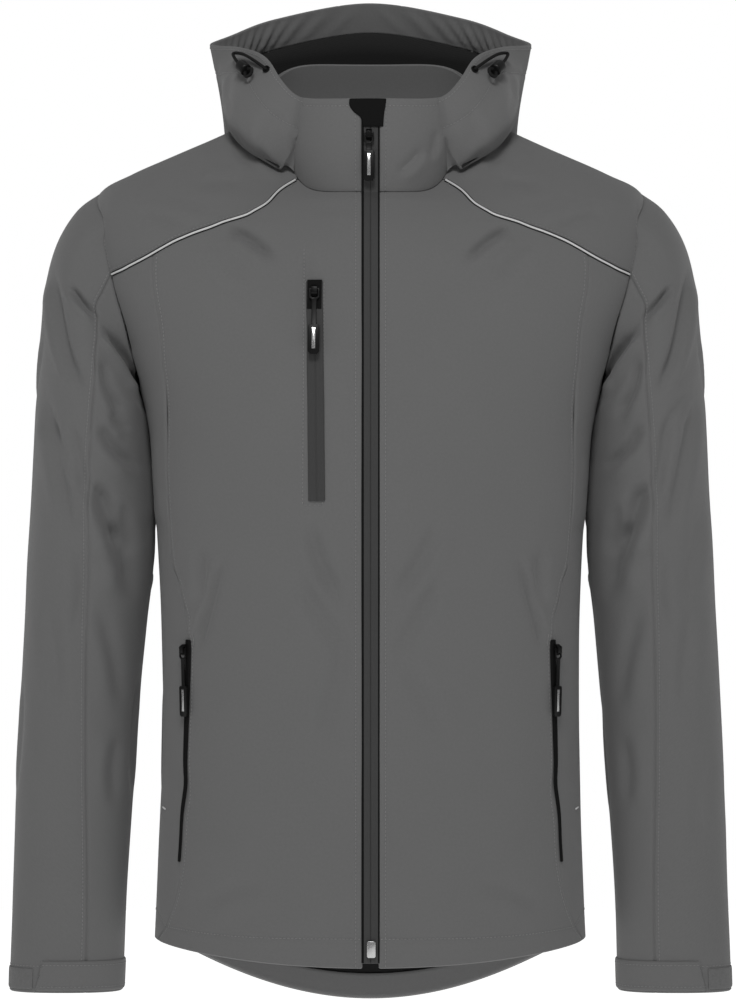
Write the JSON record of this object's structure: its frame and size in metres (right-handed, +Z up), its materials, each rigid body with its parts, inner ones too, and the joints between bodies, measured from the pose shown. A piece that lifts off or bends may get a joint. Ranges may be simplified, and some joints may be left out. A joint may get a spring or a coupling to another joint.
{
  "type": "softshell jacket",
  "caption": "Hooded softshell jacket with a full front zip, a chest zip pocket, two zipped hand pockets, reflective yoke piping and tabbed cuffs, standing hollow with arms down.",
  "frame": {"origin": "between the shoulders, level with where the shoulder seams meet the neck", "axes": "+Z up, +X to the wearer's left, the front faces -Y"},
  "size_m": [0.625, 0.3157, 0.8866],
  "materials": {
    "shell": "matt woven softshell",
    "facing": "matt woven",
    "lining": "matt knitted",
    "piping": "reflective coated",
    "zip_tape": "coated tape",
    "loop_tape": "hook and loop",
    "cord": "braided",
    "trim": "moulded",
    "slider": "black enamel",
    "metal": "nickel plated"
  },
  "bodies": {
    "jacket": {"front_left": "shell", "front_right": "shell", "side_front_left": "shell", "side_front_right": "shell", "yoke_left": "shell", "yoke_right": "shell", "back": "shell", "back_hem_facing": "facing", "top_sleeve_left": "shell", "top_sleeve_right": "shell", "under_sleeve_left": "shell", "under_sleeve_right": "shell", "collar_outer": "shell", "collar_inner": "facing", "hood_side_left": "shell", "hood_side_right": "shell", "hood_centre": "shell", "hood_lining": "lining", "hood_facing": "facing", "piping_left": "piping", "piping_right": "piping", "zip_tape_left": "zip_tape", "zip_tape_right": "zip_tape", "chin_guard": "trim", "zip_slider": "slider", "zip_box": "metal", "chest_zip_tape_right": "zip_tape", "chest_zip_slider": "slider", "pocket_zip_tape_left": "zip_tape", "pocket_zip_tape_right": "zip_tape", "pocket_zip_left_slider": "slider", "pocket_zip_right_slider": "slider", "cuff_tab_left": "shell", "cuff_tab_right": "shell", "cuff_loop_left": "loop_tape", "cuff_loop_right": "loop_tape", "hood_lock_left": "trim", "hood_cord_left": "cord", "hood_lock_right": "trim", "hood_cord_right": "cord"},
    "front_pull": {"zip_pull": "trim"},
    "chest_pull": {"chest_zip_pull": "trim"},
    "left_pocket_pull": {"pocket_zip_left_pull": "trim"},
    "right_pocket_pull": {"pocket_zip_right_pull": "trim"}
  },
  "joints": [
    {"name": "front_pull_swing", "type": "hinge", "parent": "jacket", "child": "front_pull", "pos_m": [-0.0014, -0.08254, -0.02466], "axis": [-1, 0, 0], "range_deg": [0, 150]},
    {"name": "chest_pull_swing", "type": "hinge", "parent": "jacket", "child": "chest_pull", "pos_m": [-0.04711, -0.13109, -0.15893], "axis": [-0.9983, 0.0589, 0], "range_deg": [0, 150]},
    {"name": "left_pocket_pull_swing", "type": "hinge", "parent": "jacket", "child": "left_pocket_pull", "pos_m": [0.15932, -0.08059, -0.46168], "axis": [-0.637, -0.7708, 0], "range_deg": [0, 150]},
    {"name": "right_pocket_pull_swing", "type": "hinge", "parent": "jacket", "child": "right_pocket_pull", "pos_m": [-0.15932, -0.08059, -0.46168], "axis": [-0.637, 0.7708, 0], "range_deg": [0, 150]}
  ]
}
